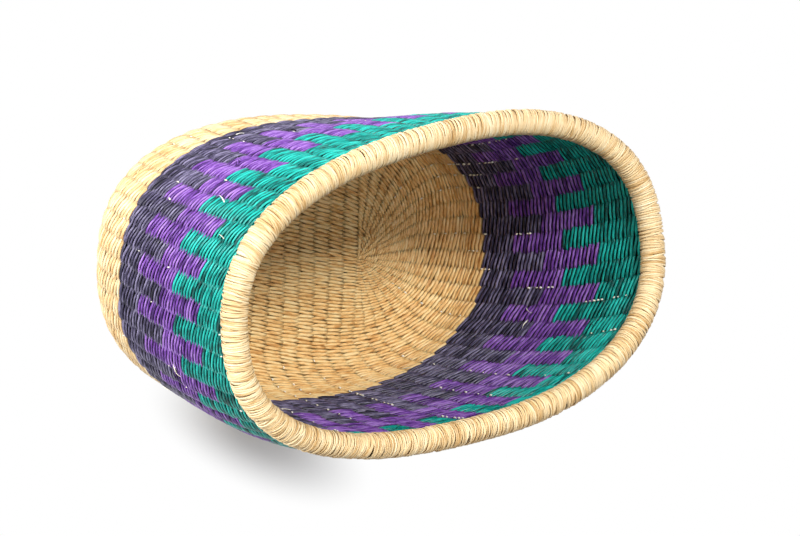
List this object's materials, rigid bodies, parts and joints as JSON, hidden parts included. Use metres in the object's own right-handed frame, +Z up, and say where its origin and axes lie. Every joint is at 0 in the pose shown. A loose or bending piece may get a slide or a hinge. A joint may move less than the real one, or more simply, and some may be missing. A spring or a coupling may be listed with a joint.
{
  "type": "woven oval basket",
  "caption": "Open oval basket with a flat base, steep walls and a thick wrapped rim, twined from straw round radiating stakes, with stepped navy, purple and teal bands.",
  "frame": {"origin": "on the underside of the base, at the middle of the base's centre line, where it stands", "axes": "+X along the long way of the rim, +Y across it, +Z up from the base to the mouth"},
  "size_m": [0.304, 0.1879, 0.1935],
  "materials": {
    "stake_straw": "dry twisted straw, unpolished",
    "base_straw": "natural straw twining, slight sheen",
    "navy_straw": "straw dyed blue-black, slight sheen",
    "purple_straw": "straw dyed purple, slight sheen",
    "teal_straw": "straw dyed teal, slight sheen",
    "rim_straw": "natural straw wrapping, slight sheen"
  },
  "bodies": {
    "root": {"crossing_stake_01": "stake_straw", "crossing_stake_02": "stake_straw", "crossing_stake_03": "stake_straw", "crossing_stake_04": "stake_straw", "crossing_stake_05": "stake_straw", "crossing_stake_06": "stake_straw", "crossing_stake_07": "stake_straw", "crossing_stake_08": "stake_straw", "crossing_stake_09": "stake_straw", "crossing_stake_10": "stake_straw", "crossing_stake_11": "stake_straw", "left_stake_01": "stake_straw", "left_stake_02": "stake_straw", "left_stake_03": "stake_straw", "left_stake_04": "stake_straw", "left_stake_05": "stake_straw", "left_stake_06": "stake_straw", "left_stake_07": "stake_straw", "left_stake_08": "stake_straw", "left_stake_09": "stake_straw", "left_stake_10": "stake_straw", "left_stake_11": "stake_straw", "left_stake_12": "stake_straw", "left_stake_13": "stake_straw", "left_stake_14": "stake_straw", "left_stake_15": "stake_straw", "left_stake_16": "stake_straw", "left_stake_17": "stake_straw", "left_stake_18": "stake_straw", "left_stake_19": "stake_straw", "left_stake_20": "stake_straw", "right_stake_01": "stake_straw", "right_stake_02": "stake_straw", "right_stake_03": "stake_straw", "right_stake_04": "stake_straw", "right_stake_05": "stake_straw", "right_stake_06": "stake_straw", "right_stake_07": "stake_straw", "right_stake_08": "stake_straw", "right_stake_09": "stake_straw", "right_stake_10": "stake_straw", "right_stake_11": "stake_straw", "right_stake_12": "stake_straw", "right_stake_13": "stake_straw", "right_stake_14": "stake_straw", "right_stake_15": "stake_straw", "right_stake_16": "stake_straw", "right_stake_17": "stake_straw", "right_stake_18": "stake_straw", "right_stake_19": "stake_straw", "right_stake_20": "stake_straw", "base_weave": "base_straw", "navy_weave": "navy_straw", "purple_weave": "purple_straw", "teal_weave": "teal_straw", "rim_core": "stake_straw", "rim_wrap": "rim_straw"}
  },
  "joints": []
}
